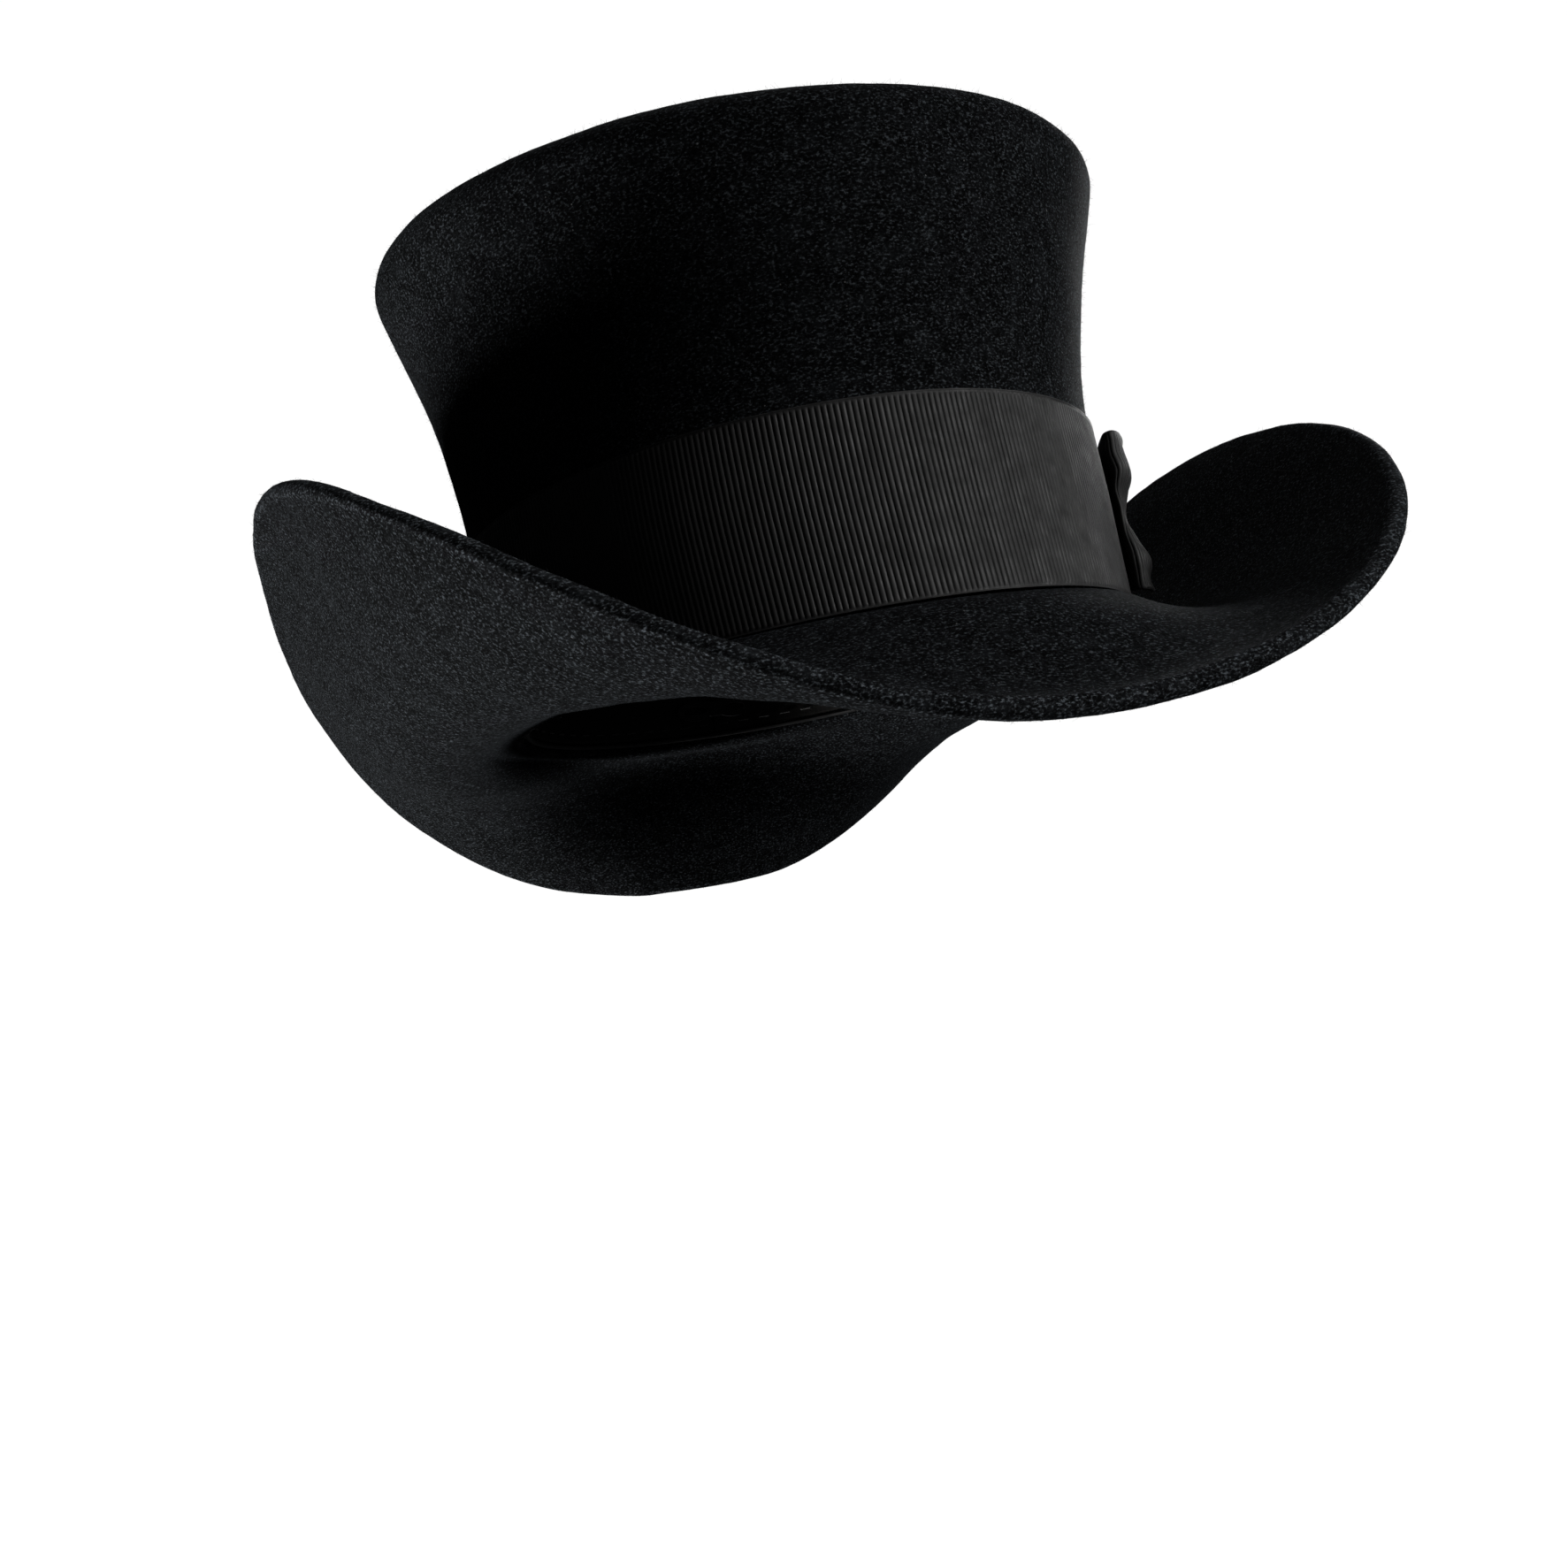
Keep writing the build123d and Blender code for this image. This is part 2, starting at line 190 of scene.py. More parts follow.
def brim_slope(a, s):
    near, mid, rim = (series(v, a) for v in (SLOPE_AT_CROWN, SLOPE_MIDWAY, SLOPE_AT_RIM))
    slope = near * (1 - s) * (1 - 2 * s) + mid * 4 * s * (1 - s) + rim * s * (2 * s - 1)
    return np.radians(slope)


def brim(a, s, down, past=0.0):
    """Points of the brim: s along it, down into the felt, past its rim."""
    width = series(BRIM_WIDTH, a)
    steps = 24
    out = up = 0.0
    for i in range(steps):
        slope = brim_slope(a, s * (i + 0.5) / steps)
        out = out + np.cos(slope) * width * s / steps
        up = up + np.sin(slope) * width * s / steps
    slope = brim_slope(a, s)
    out = out + down * np.sin(slope) + past * np.cos(slope)
    up = up - down * np.cos(slope) + past * np.sin(slope)
    points = oval(a, BRIM_ROOT, 0.0, np.zeros_like(a)) + outward(a) * out[..., None]
    points[..., 2] += up
    return points


# ---------------------------------------------------------------- smooth noise
def wander(points, size, seed, count=14):
    """Gentle unevenness between about -1 and 1, with hills about size across."""
    rng = np.random.default_rng(seed)
    total = 0.0
    for _ in range(count):
        way = rng.normal(size=3)
        way *= 2 * math.pi / size / np.linalg.norm(way) * rng.uniform(0.6, 1.5)
        total = total + np.sin(points @ way + rng.uniform(0, 2 * math.pi))
    return total / math.sqrt(count)


# ---------------------------------------------------------------- mesh making
def grid_faces(rows, columns, wrap_rows, wrap_columns):
    """Four-sided faces of a grid of points, closed one way, both or neither."""
    index = np.arange(rows * columns).reshape(rows, columns)
    if wrap_rows:
        index = np.vstack([index, index[:1]])
    if wrap_columns:
        index = np.hstack([index, index[:, :1]])
    corners = (index[:-1, :-1], index[:-1, 1:], index[1:, 1:], index[1:, :-1])
    return np.stack(corners, axis=-1).reshape(-1, 4).tolist()


def add_piece(name, points, faces, material):
    """A smooth-shaded mesh that rides on the hat; points are in millimetres."""
    mesh = bpy.data.meshes.new(name)
    mesh.from_pydata((points.reshape(-1, 3) * MM).tolist(), [], faces)
    mesh.polygons.foreach_set("use_smooth", [True] * len(mesh.polygons))
    mesh.materials.append(material)
    mesh.update()
    piece = bpy.data.objects.new(name, mesh)
    bpy.context.scene.collection.objects.link(piece)
    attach(piece, "root")
    return piece


def add_hoop(name, points, material):
    """A piece from rows of rings, where the last row joins the first."""
    rows, columns = points.shape[:2]
    return add_piece(name, points, grid_faces(rows, columns, True, True), material)


def add_bar(name, points, material):
    """A piece from a row of closed sections, capped at both ends."""
    rows, columns = points.shape[:2]
    faces = grid_faces(rows, columns, False, True)
    faces.append(list(range(columns))[::-1])
    faces.append(list(range((rows - 1) * columns, rows * columns)))
    return add_piece(name, points, faces, material)


def around(count):
    """Angles once round the oval, as one row."""
    return np.linspace(0, 2 * math.pi, count, endpoint=False)[None, :]


def column(*values):
    return np.concatenate([np.atleast_1d(v) for v in values])[:, None].astype(float)


def face_ways(points):
    """Unit directions square to a grid of points that is closed round each row."""
    along = np.roll(points, -1, axis=1) - np.roll(points, 1, axis=1)
    up = np.gradient(points, axis=0)
    ways = np.cross(along, up)
    return ways / np.maximum(np.linalg.norm(ways, axis=-1, keepdims=True), 1e-9)


def rough_up(points, large, small, seed):
    """Moves a felt surface a little in and out, as blocking by hand leaves it."""
    bumps = large * wander(points, 34.0, seed) + small * wander(points, 7.0, seed + 1)
    return points + face_ways(points) * bumps[..., None]


# ---------------------------------------------------------------- node materials
class Nodes:
    """Short ways to build one material's node tree."""

    def __init__(self, name, colour, roughness):
        self.material = bpy.data.materials.new(name)
        self.material.use_nodes = True
        self.tree = self.material.node_tree
        self.shader = self.tree.nodes["Principled BSDF"]
        self.shader.inputs["Base Color"].default_value = (*colour, 1)
        self.shader.inputs["Roughness"].default_value = roughness
        place = self.tree.nodes.new("ShaderNodeTexCoord")
        self.place = place.outputs["Object"]

    def set(self, **values):
        for key, value in values.items():
            self.shader.inputs[key.replace("_", " ")].default_value = value

    def mapped(self, scale):
        node = self.tree.nodes.new("ShaderNodeMapping")
        node.inputs["Scale"].default_value = scale
        self.tree.links.new(self.place, node.inputs["Vector"])
        return node.outputs["Vector"]

    def noise(self, scale, detail=3.0, stretch=(1, 1, 1), rough=0.6):
        node = self.tree.nodes.new("ShaderNodeTexNoise")
        node.inputs["Scale"].default_value = scale
        node.inputs["Detail"].default_value = detail
        node.inputs["Roughness"].default_value = rough
        self.tree.links.new(self.mapped(stretch), node.inputs["Vector"])
        return node.outputs["Fac"]

    def cells(self, scale, feature="F1"):
        node = self.tree.nodes.new("ShaderNodeTexVoronoi")
        node.feature = feature
        node.inputs["Scale"].default_value = scale
        self.tree.links.new(self.mapped((1, 1, 1)), node.inputs["Vector"])
        return node.outputs["Distance"]

    def wave(self, scale, stretch, distortion=0.0):
        node = self.tree.nodes.new("ShaderNodeTexWave")
        node.inputs["Scale"].default_value = scale
        node.inputs["Distortion"].default_value = distortion
        self.tree.links.new(self.mapped(stretch), node.inputs["Vector"])
        return node.outputs["Fac"]

    def ramp(self, source, *stops):
        """A colour or grey looked up along the source, from (place, colour) stops."""
        node = self.tree.nodes.new("ShaderNodeValToRGB")
        elements = node.color_ramp.elements
        while len(elements) < len(stops):
            elements.new(0.5)
        for element, (place, colour) in zip(elements, stops):
            element.position = place
            element.color = (*colour, 1)
        self.tree.links.new(source, node.inputs["Fac"])
        return node.outputs["Color"]

    def blend(self, kind, factor, a, b):
        """Mixes two colour outputs."""
        node = self.tree.nodes.new("ShaderNodeMix")
        node.data_type = "RGBA"
        node.blend_type = kind
        if isinstance(factor, float):
            node.inputs[0].default_value = factor
        else:
            self.tree.links.new(factor, node.inputs[0])
        self.tree.links.new(a, node.inputs[6])
        self.tree.links.new(b, node.inputs[7])
        return node.outputs[2]

    def bumps(self, *layers):
        """Adds height layers of (source, strength, depth in metres)."""
        before = None
        for source, strength, depth in layers:
            node = self.tree.nodes.new("ShaderNodeBump")
            node.inputs["Strength"].default_value = strength
            node.inputs["Distance"].default_value = depth
            self.tree.links.new(source, node.inputs["Height"])
            if before is not None:
                self.tree.links.new(before, node.inputs["Normal"])
            before = node.outputs["Normal"]
        self.tree.links.new(before, self.shader.inputs["Normal"])

    def colour(self, source):
        self.tree.links.new(source, self.shader.inputs["Base Color"])

    def roughness(self, source):
        self.tree.links.new(source, self.shader.inputs["Roughness"])


def grey(value, tint=0.0):
    """A grey that is a little cool when tint is above nought."""
    return (value * (1 - tint), value, value * (1 + tint))


def felt_material(name, light=1.0):
    """Matted black wool: mottled, with short lifted hairs and specks of lint."""
    m = Nodes(name, grey(0.012, 0.06), 0.95)
    m.set(Sheen_Weight=0.008, Sheen_Roughness=0.38, Sheen_Tint=(0.78, 0.88, 1.0, 1),
          Specular_IOR_Level=0.02)
    # light scales the felt's colour: above one it makes a copy of the same felt painted
    # lighter, as painted light.
    mottle = m.ramp(m.noise(170.0, 6.0, rough=0.75),
                    (0.34, grey(0.0006 * light, 0.05)), (0.5, grey(0.0020 * light, 0.08)),
                    (0.68, grey(0.0062 * light, 0.12)))
    hairs = m.ramp(m.noise(1150.0, 3.0, (1, 1, 1.7)),
                   (0.45, grey(0.0)), (0.56, grey(0.008 * light, 0.08)),
                   (0.68, grey(0.060 * light, 0.12)))
    cloth = m.blend("ADD", 0.8, mottle, hairs)
    lint = m.ramp(m.cells(260.0), (0.035, grey(0.12)), (0.06, grey(0.0)))
    m.colour(m.blend("ADD", 0.7, cloth, lint))
    m.bumps((m.noise(330.0, 4.0), 0.25, 0.00030),
            (m.noise(1500.0, 2.0, (1, 1, 1.8)), 0.7, 0.00018))
    return m.material


def ribbon_material(name):
    """Matte ribbed ribbon: fine threads across the ribs, and a dull sheen."""
    m = Nodes(name, grey(0.02), 0.62)
    m.set(Sheen_Weight=0.05, Sheen_Roughness=0.35, Sheen_Tint=(0.9, 0.93, 1.0, 1),
          Specular_IOR_Level=0.28)
    tone = m.ramp(m.noise(140.0, 4.0, (1, 1, 0.35)),
                  (0.30, grey(0.007)), (0.55, grey(0.011)), (0.75, grey(0.017)))
    threads = m.ramp(m.wave(470.0, (0, 0, 1), 0.6), (0.2, grey(0.0)), (0.9, grey(0.006)))
    m.colour(m.blend("ADD", 0.8, tone, threads))
    m.roughness(m.ramp(m.noise(220.0, 3.0), (0.3, grey(0.52)), (0.7, grey(0.74))))
    m.bumps((m.wave(470.0, (0, 0, 1), 0.6), 0.35, 0.00008),
            (m.noise(1400.0, 2.0), 0.4, 0.00008))
    return m.material


def leather_material(name):
    """Thin hat leather, its own dark brown darkened further to near black as painted shade
    inside the crown, with grain, creases and a worn polish.
    """
    m = Nodes(name, (0.03, 0.018, 0.012), 0.5)
    m.set(Specular_IOR_Level=0.2)
    # Near black: the leather's own dark brown, and painted shade for the hollow of the crown.
    m.colour(m.ramp(m.noise(60.0, 5.0), (0.3, (0.002, 0.0018, 0.0016)),
                    (0.55, (0.004, 0.0035, 0.003)), (0.8, (0.009, 0.007, 0.006))))
    m.roughness(m.ramp(m.noise(35.0, 3.0), (0.3, grey(0.38)), (0.7, grey(0.62))))
    m.bumps((m.noise(120.0, 3.0), 0.4, 0.0004),
            (m.cells(1300.0, "SMOOTH_F1"), 0.5, 0.00016))
    return m.material


def satin_material(name):
    """Glossy woven lining, brighter where its folds face the light."""
    m = Nodes(name, grey(0.02), 0.3)
    m.set(Specular_IOR_Level=0.5, Sheen_Weight=0.15)
    m.colour(m.ramp(m.noise(25.0, 3.0), (0.3, grey(0.014, 0.03)), (0.7, grey(0.03, 0.03))))
    m.roughness(m.ramp(m.noise(300.0, 2.0, (1, 1, 0.2)), (0.3, grey(0.26)), (0.7, grey(0.42))))
    m.bumps((m.noise(45.0, 3.0, (1, 1, 0.3)), 0.4, 0.0008),
            (m.wave(900.0, (1, 1, 0.3), 0.4), 0.25, 0.00005))
    return m.material


def thread_material(name, value):
    """Twisted sewing thread."""
    m = Nodes(name, grey(value), 0.7)
    m.set(Sheen_Weight=0.3)
    m.colour(m.ramp(m.noise(900.0, 2.0), (0.3, grey(value * 0.6)), (0.7, grey(value * 1.5))))
    m.bumps((m.wave(900.0, (1, 1, 1), 0.3), 0.8, 0.00012))
    return m.material


def plain_material(name, colour, roughness, scale, depth):
    """Moulded plastic or pressed card: mottled, with a fine surface."""
    m = Nodes(name, colour, roughness)
    low, high = (tuple(c * k for c in colour) for k in (0.82, 1.1))
    m.colour(m.ramp(m.noise(scale, 4.0), (0.3, low), (0.7, high)))
    m.roughness(m.ramp(m.noise(scale * 2, 2.0), (0.3, grey(roughness * 0.85)),
                       (0.7, grey(min(1.0, roughness * 1.15)))))
    m.bumps((m.noise(scale * 4, 3.0), 0.4, depth))
    return m.material


FELT_CROWN = felt_material("felt_of_crown")
# The brim's copy of the felt is painted a tenth lighter than the crown's, as painted light.
FELT_BRIM_PAINTED_LIGHTER = felt_material("felt_of_brim_painted_lighter", 1.1)
# A copy of the felt painted twice as light, as a painted highlight on the brim's raw edge.
FELT_EDGE_PAINTED_HIGHLIGHT = felt_material("felt_of_raw_edge_painted_highlight", 2.0)
RIBBON = ribbon_material("ribbed_ribbon")
LEATHER_DARK_AND_SHADED = leather_material("sweatband_leather")
SATIN = satin_material("lining_satin")
THREAD = thread_material("black_thread", 0.01)
PALE_THREAD = thread_material("dark_grey_thread", 0.008)
TAPE = ribbon_material("cotton_tape")
PLASTIC = plain_material("reed_plastic", (0.006, 0.006, 0.006), 0.5, 120.0, 0.00005)
CARD = plain_material("ticket_card", (0.62, 0.60, 0.54), 0.85, 260.0, 0.0001)


# ---------------------------------------------------------------- the felt pieces
def make_crown():
    """Outer face from foot to tip, then the inner face back down."""
    a = around(640)
    low = column(np.linspace(0.6, SIDE_HEIGHT, 110))
    turn = np.radians(column(np.linspace(SHOULDER_START, 90, 22)[1:]))
    shrink = column(1 - np.linspace(0, 1, 34)[1:-1] ** 1.15)
    top = shoulder(a, np.full((1, 1), math.pi / 2), 0.0)
    middle = top.mean(axis=1, keepdims=True)
    disc = middle + (top - middle) * shrink[..., None]
    outer = np.vstack([wall(a, low, 0.0), shoulder(a, turn, 0.0), disc])
    outer = rough_up(outer, 0.13, 0.03, 11)
    foot = np.clip(wall(a, low, 0.0)[..., 2:] / 20, 0, 1)
    outer[:len(low)] = wall(a, low, 0.0) * (1 - foot) + outer[:len(low)] * foot
    under = shoulder(a, np.full((1, 1), math.pi / 2), CROWN_FELT)
    inside_disc = under.mean(axis=1, keepdims=True)
    inside_disc = inside_disc + (under - inside_disc) * shrink[::4][::-1][..., None]
    turn_back = np.radians(column(np.linspace(90, SHOULDER_START, 9)))
    inside = np.vstack([inside_disc, shoulder(a, turn_back, CROWN_FELT),
                        wall(a, low[::-6], CROWN_FELT)])
    points = np.vstack([outer, inside])
    rows, columns = points.shape[:2]
    faces = []
    for first, last in ((0, len(outer) - 1), (len(outer), rows - 1)):
        part = np.array(grid_faces(last - first + 1, columns, False, True))
        faces += (part + first * columns).tolist()
    last_row = (rows - 1) * columns
    for i in range(columns):
        j = (i + 1) % columns
        faces.append([last_row + i, last_row + j, j, i])
    faces.append([(len(outer) - 1) * columns + i for i in range(columns)])
    faces.append([len(outer) * columns + i for i in range(columns)][::-1])
    piece = add_piece("crown_blocked_felt", points, faces, FELT_CROWN)
    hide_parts("crown_felt")
    above_band = outer[48:len(low) + 24]      # from just over the ribbon to the tip's rim
    make_nap("crown_nap", above_band, 16000, 61, FELT_CROWN)


def make_brim():
    """Upper face, rounded raw edge, lower face and the turned-up collar."""
    a = around(800)
    run = column(np.linspace(0.0, 1.0, 70))
    half = BRIM_FELT / 2
    upper = brim(a, run, 0.0)
    lower = brim(a, run[::-1], BRIM_FELT)
    turn = np.radians(column(np.linspace(0, 180, 15)[1:-1]))
    edge = brim(a, np.ones_like(turn), half - half * np.cos(turn),
                half * np.sin(turn) ** 0.8)
    inner = COLLAR_DEPTH + COLLAR_FELT
    inside = trim(a, column(np.linspace(COLLAR_FOOT, COLLAR_HEIGHT, 8)), inner)
    outside = trim(a, column(np.linspace(COLLAR_HEIGHT, 0.0, 8)), COLLAR_DEPTH)
    skin = np.vstack([upper, edge, lower])
    rough = rough_up(skin, 0.16, 0.04, 23)
    share = np.vstack([run, np.ones_like(turn), run[::-1]])
    free = np.clip((share - 0.06) / 0.12, 0, 1)[..., None]
    skin = skin * (1 - free) + rough * free
    # The brim's faces take the copy of the felt painted lighter, as painted light.
    piece = add_hoop("brim_curled_felt", np.vstack([skin, inside, outside]),
                     FELT_BRIM_PAINTED_LIGHTER)
    # The raw edge takes a copy of the felt painted twice as light: a painted highlight along
    # the rim.
    piece.data.materials.append(FELT_EDGE_PAINTED_HIGHLIGHT)
    first, last = (len(run) - 1) * a.size, (len(run) + len(turn)) * a.size
    for face in piece.data.polygons[first:last]:
        face.material_index = 1
    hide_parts("brim_felt")
    make_nap("brim_nap", skin[6:-6], 22000, 62, FELT_BRIM_PAINTED_LIGHTER)
    # The hairs on the raw edge carry the same painted highlight.
    make_nap("brim_edge_nap", skin[len(run) - 4:len(run) + 17], 9000, 63, FELT_EDGE_PAINTED_HIGHLIGHT)


def make_nap(name, skin, count, seed, material):
    """Short loose hairs that stand off a felt skin, each a thin tapered spike."""
    rng = np.random.default_rng(seed)
    ways = face_ways(skin)
    rows = rng.integers(1, skin.shape[0] - 1, count)
    columns = rng.integers(0, skin.shape[1], count)
    root = skin[rows, columns] - ways[rows, columns] * HAIR_ROOT
    lean = rng.normal(size=(count, 3)) * HAIR_LEAN
    way = ways[rows, columns] + lean
    way /= np.linalg.norm(way, axis=1, keepdims=True)
    bend = rng.normal(size=(count, 3)) * HAIR_BEND
    length = rng.uniform(HAIR_SHORTEST, HAIR_LONGEST, count)[:, None]
    side = np.cross(way, rng.normal(size=(count, 3)))
    side /= np.linalg.norm(side, axis=1, keepdims=True)
    other = np.cross(way, side)
    rings = []
    for share, radius in HAIR_TAPER:
        middle = root + way * length * share + bend * length * share ** 2
        for k in range(3):
            turn = 2 * math.pi * k / 3
            rings.append(middle + radius * (side * math.cos(turn) + other * math.sin(turn)))
    points = np.stack(rings, axis=1)
    shape = [(0, 1, 4, 3), (1, 2, 5, 4), (2, 0, 3, 5),
             (3, 4, 7, 6), (4, 5, 8, 7), (5, 3, 6, 8)]
    ends = [(2, 1, 0), (6, 7, 8)]
    faces = [tuple(9 * i + v for v in face) for i in range(count) for face in shape + ends]
    return add_piece(name, points, faces, material)


# ---------------------------------------------------------------- the ribbon
def rib_height(along, across, half_height):
    """Relief of the ribs, which end in a smooth selvage at both edges."""
    rib = np.abs(np.sin(math.pi * along / RIB_PITCH)) ** RIB_SHARPNESS
    edge = np.clip((half_height - np.abs(across)) / SELVAGE, 0, 1)
    plain = 0.75 + 0.25 * np.cos(math.pi * np.clip(edge * 1.6, 0, 1))
    return RIB_RELIEF * (rib * np.clip(edge * 3 - 1.4, 0, 1) + plain * (1 - edge))


def make_hatband():
    """One strip of ribbed ribbon, its ends meeting under the bow."""
    gap = math.radians(0.2)
    a = np.linspace(gap, 2 * math.pi - gap, 4200)[None, :]
    level = np.concatenate([[0.0, 0.25, 0.6, 1.0, 1.4, 2.0], np.linspace(3.5, 46.5, 22),
                            [48.0, 48.6, 49.0, 49.4, 49.75, 50.0]])
    height = column(level)
    path = trim(a, np.full((1, 1), BOW_MIDDLE), 0.0)
    along = np.zeros(a.shape[1])
    along[1:] = np.cumsum(np.linalg.norm(np.diff(path[0], axis=0), axis=1))
    across = height - RIBBON_HEIGHT / 2
    relief = rib_height(along[None, :], across, RIBBON_HEIGHT / 2)
    ride = 0.06 * wander(trim(a, height, 0.0), 70.0, 31)
    near_bow = np.exp(-(np.minimum(a, 2 * math.pi - a) / 0.35) ** 2)
    pulled = 0.10 * near_bow * np.sin(along[None, :] / 2.3 + across / 2.2)
    front = trim(a, RIBBON_FOOT + height, RIBBON_OUTER + 0.45 - relief - ride - pulled)
    back = trim(a, RIBBON_FOOT + height[::-6], RIBBON_BACK)
    points = np.vstack([front, back])
    section = points.transpose(1, 0, 2)
    piece = add_bar("hatband_ribbed", section, RIBBON)
    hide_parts("hatband")


# ---------------------------------------------------------------- the bow
def bow_points(along, height, out):
    """Points beside the knot: along the band, above its middle, off the underlay."""
    angle = BOW_ANGLE + along / FOOT_HALF_LENGTH
    return trim(angle, BOW_MIDDLE + height, BOW_BASE - out)


def through(values, count):
    """A smooth curve through rows of values."""
    values = np.asarray(values, float)
    last = len(values) - 1
    t = np.linspace(0, last, count)
    i = np.minimum(t.astype(int), last - 1)
    f = (t - i)[:, None]
    ends = np.vstack([2 * values[0] - values[1], values, 2 * values[-1] - values[-2]])
    p, q, r, s = (ends[i + k] for k in range(4))
    return 0.5 * (2 * q + (r - p) * f + (2 * p - 5 * q + 4 * r - s) * f**2
                  + (3 * q - p - 3 * r + s) * f**3)


# One loop, from under the knot out along its face, round its end and back:
# distance along the band, distance off the underlay, height, gathers, pinch.
LOOP_PATH = ((0.5, 2.6, 15, 0.55, 0.00), (6.0, 3.9, 17, 0.80, 0.10),
             (14.0, 6.0, 25, 1.00, 0.25), (24.0, 7.8, 37, 0.80, 0.42),
             (33.0, 7.9, 44, 0.55, 0.52), (40.0, 6.5, 46, 0.42, 0.56),
             (44.6, 4.6, 46, 0.34, 0.56), (46.0, 2.9, 46, 0.28, 0.46),
             (44.0, 1.5, 45, 0.25, 0.20), (33.0, 0.9, 41, 0.15, 0.00),
             (17.0, 0.7, 27, 0.15, 0.00), (2.0, 0.7, 16, 0.15, 0.00))


def make_loop(side, name, node, seed):
    """A loop of gathered ribbon; side -1 lies to the front and 1 to the back."""
    path = through(LOOP_PATH, 720)
    across = np.linspace(-1, 1, 56)[None, :]
    along, out, high, gather, pinch = (path[:, k:k + 1] for k in range(5))
    step = np.hypot(np.gradient(along[:, 0]), np.gradient(out[:, 0]))
    length = np.cumsum(step)[:, None]
    dip = np.exp(-(across / 0.30) ** 2)
    folds = np.cos(math.pi * 3.4 * across + 0.6 * side + 0.02 * length)
    out = out * (1 - pinch * dip) + gather * folds * np.clip(out / 3, 0, 1)
    along = along * (1 - 0.10 * pinch * dip)
    rib = np.abs(np.sin(math.pi * length / RIB_PITCH)) ** RIB_SHARPNESS
    edge = np.clip((1 - np.abs(across)) * high / 2 / SELVAGE, 0, 1)
    relief = LOOP_RELIEF * (rib * np.clip(edge * 3 - 1.4, 0, 1) + (1 - edge))
    wave = 0.25 * wander(np.stack([along + 0 * across, across * high, 0 * out], -1),
                         16.0, seed)
    centre = bow_points(side * along, across * high / 2, np.maximum(out + wave, 0.35))
    ways = np.cross(np.gradient(centre, axis=0), np.gradient(centre, axis=1))
    ways *= side / np.maximum(np.linalg.norm(ways, axis=-1, keepdims=True), 1e-9)
    front = centre - ways * (LOOP_HALF_SKIN + relief)[..., None]
    back = (centre + ways * (LOOP_HALF_SKIN + relief)[..., None])[:, ::-1]
    piece = add_bar(name, np.concatenate([front, back], axis=1), RIBBON)
    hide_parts(node)


def make_knot():
    """The short strip gathered round the middle of the bow."""
    turn = np.linspace(0, 2 * math.pi, 110, endpoint=False)[None, :]
    across = np.linspace(-1, 1, 46)[:, None]
    folds = 0.32 * np.cos(math.pi * 3.2 * across + 0.5 * np.sin(turn * 2))
    end = np.clip((1 - np.abs(across)) * 6.5 / 1.0, 0, 1)
    rib = 0.16 * np.abs(np.sin(turn * 20)) ** 0.7 * end
    swell = 1 + 0.05 * np.abs(across) ** 2

    def face(inset):
        reach = 10.0 * swell - inset + folds * (inset < 0.2) + rib * (inset < 0.2)
        proud = 3.9 * swell - inset + (folds + rib) * (inset < 0.2)
        up = reach * np.sign(np.sin(turn)) * np.abs(np.sin(turn)) ** 0.8
        off = 4.0 + proud * np.sign(np.cos(turn)) * np.abs(np.cos(turn)) ** 0.8
        return bow_points(across * 6.0 + 0 * turn, up, np.maximum(off, 0.1))

    outer, inner = face(0.0), face(0.55)
    points = np.vstack([outer, inner[::-1]])
    piece = add_hoop("bow_knot_ribbed", points, RIBBON)
    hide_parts("bow_knot")


def make_underlay():
    """A flat piece of ribbon behind the bow."""
    along = np.linspace(-UNDERLAY_LENGTH / 2, UNDERLAY_LENGTH / 2, 230)[:, None]
    across = np.linspace(-1, 1, 40)[None, :] * UNDERLAY_HEIGHT / 2
    relief = rib_height(along, across, UNDERLAY_HEIGHT / 2)
    angle = BOW_ANGLE + along / FOOT_HALF_LENGTH
    front = trim(angle, BOW_MIDDLE + across, UNDERLAY_OUTER + 0.2 - relief)
    back = trim(angle, BOW_MIDDLE + across, UNDERLAY_OUTER + 0.25)[:, ::-1]
    piece = add_bar("bow_underlay_ribbed", np.concatenate([front, back], axis=1),
                    RIBBON)
    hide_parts("bow_underlay")


# ---------------------------------------------------------------- inside the hat
def make_sweatband():
    """The leather strip: its free top edge waves a little."""
    gap = math.radians(0.15)
    a = np.linspace(math.pi / 2 + gap, math.pi * 2.5 - gap, 700)[:, None]
    share = np.linspace(0, 1, 44)[None, :]
    height = LEATHER_FOOT + share * (LEATHER_TOP - LEATHER_FOOT)
    wave = share ** 2 * (0.35 * np.sin(9 * a) + 0.25 * np.sin(17 * a + 1) + 0.4)
    crease = 0.12 * wander(trim(a, height, 0.0), 18.0, 41)
    depth = LEATHER_OUTER + 0.25 + share * LEATHER_LEAN + wave + crease * share
    inner = trim(a, height, depth + LEATHER_SKIN)
    outer = trim(a, height, depth)[:, ::-1]
    piece = add_bar("sweatband_leather", np.concatenate([inner, outer], axis=1),
                    LEATHER_DARK_AND_SHADED)
    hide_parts("sweatband")


